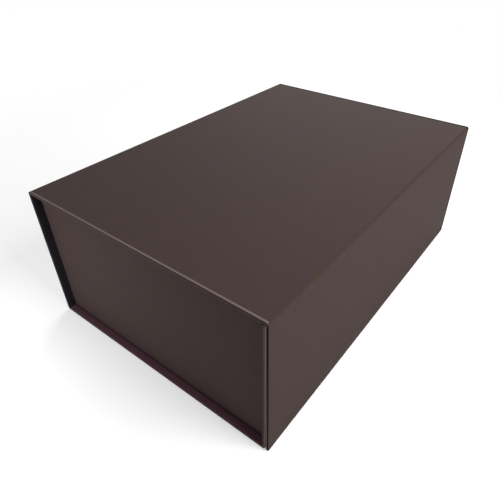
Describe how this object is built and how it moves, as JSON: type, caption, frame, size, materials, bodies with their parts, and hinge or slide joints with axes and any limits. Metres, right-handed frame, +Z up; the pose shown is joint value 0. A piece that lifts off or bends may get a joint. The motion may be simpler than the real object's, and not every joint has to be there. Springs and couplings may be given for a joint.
{
  "type": "collapsible gift box",
  "caption": "Collapsible rigid gift box, closed, with a hinged lid that folds down into a magnetic front flap and end walls set in from the ends of the case.",
  "frame": {"origin": "centre of the closed box's footprint, on the ground", "axes": "+X along the folds of the lid, +Y to the spine at the back, +Z up; the flap is at -Y"},
  "size_m": [0.33, 0.2302, 0.124],
  "materials": {
    "cover_paper": "matte",
    "lining_paper": "matte",
    "greyboard": "matte",
    "plated_steel": "satin",
    "tape": "matte"
  },
  "bodies": {
    "tray": {"base_board": "greyboard", "spine_board": "greyboard", "front_board": "greyboard", "case_wrap": "cover_paper", "case_lining": "lining_paper", "keeper_left": "plated_steel", "keeper_right": "plated_steel", "end_board_left": "greyboard", "end_wrap_left": "cover_paper", "end_lining_left": "lining_paper", "end_board_right": "greyboard", "end_wrap_right": "cover_paper", "end_lining_right": "lining_paper", "tape_front_left": "tape", "tape_back_left": "tape", "tape_front_right": "tape", "tape_back_right": "tape"},
    "lid": {"lid_board": "greyboard", "lid_wrap": "cover_paper", "lid_lining": "lining_paper"},
    "flap": {"flap_board": "greyboard", "flap_wrap": "cover_paper", "flap_lining": "lining_paper", "flap_magnet_left": "plated_steel", "flap_magnet_right": "plated_steel"}
  },
  "joints": [
    {"name": "lid_fold", "type": "hinge", "parent": "tray", "child": "lid", "pos_m": [0, 0.11446, 0.12336], "axis": [-1, 0, 0], "range_deg": [0, 180]},
    {"name": "flap_fold", "type": "hinge", "parent": "lid", "child": "flap", "pos_m": [0, -0.11425, 0.12336], "axis": [-1, 0, 0], "range_deg": [0, 90]}
  ]
}
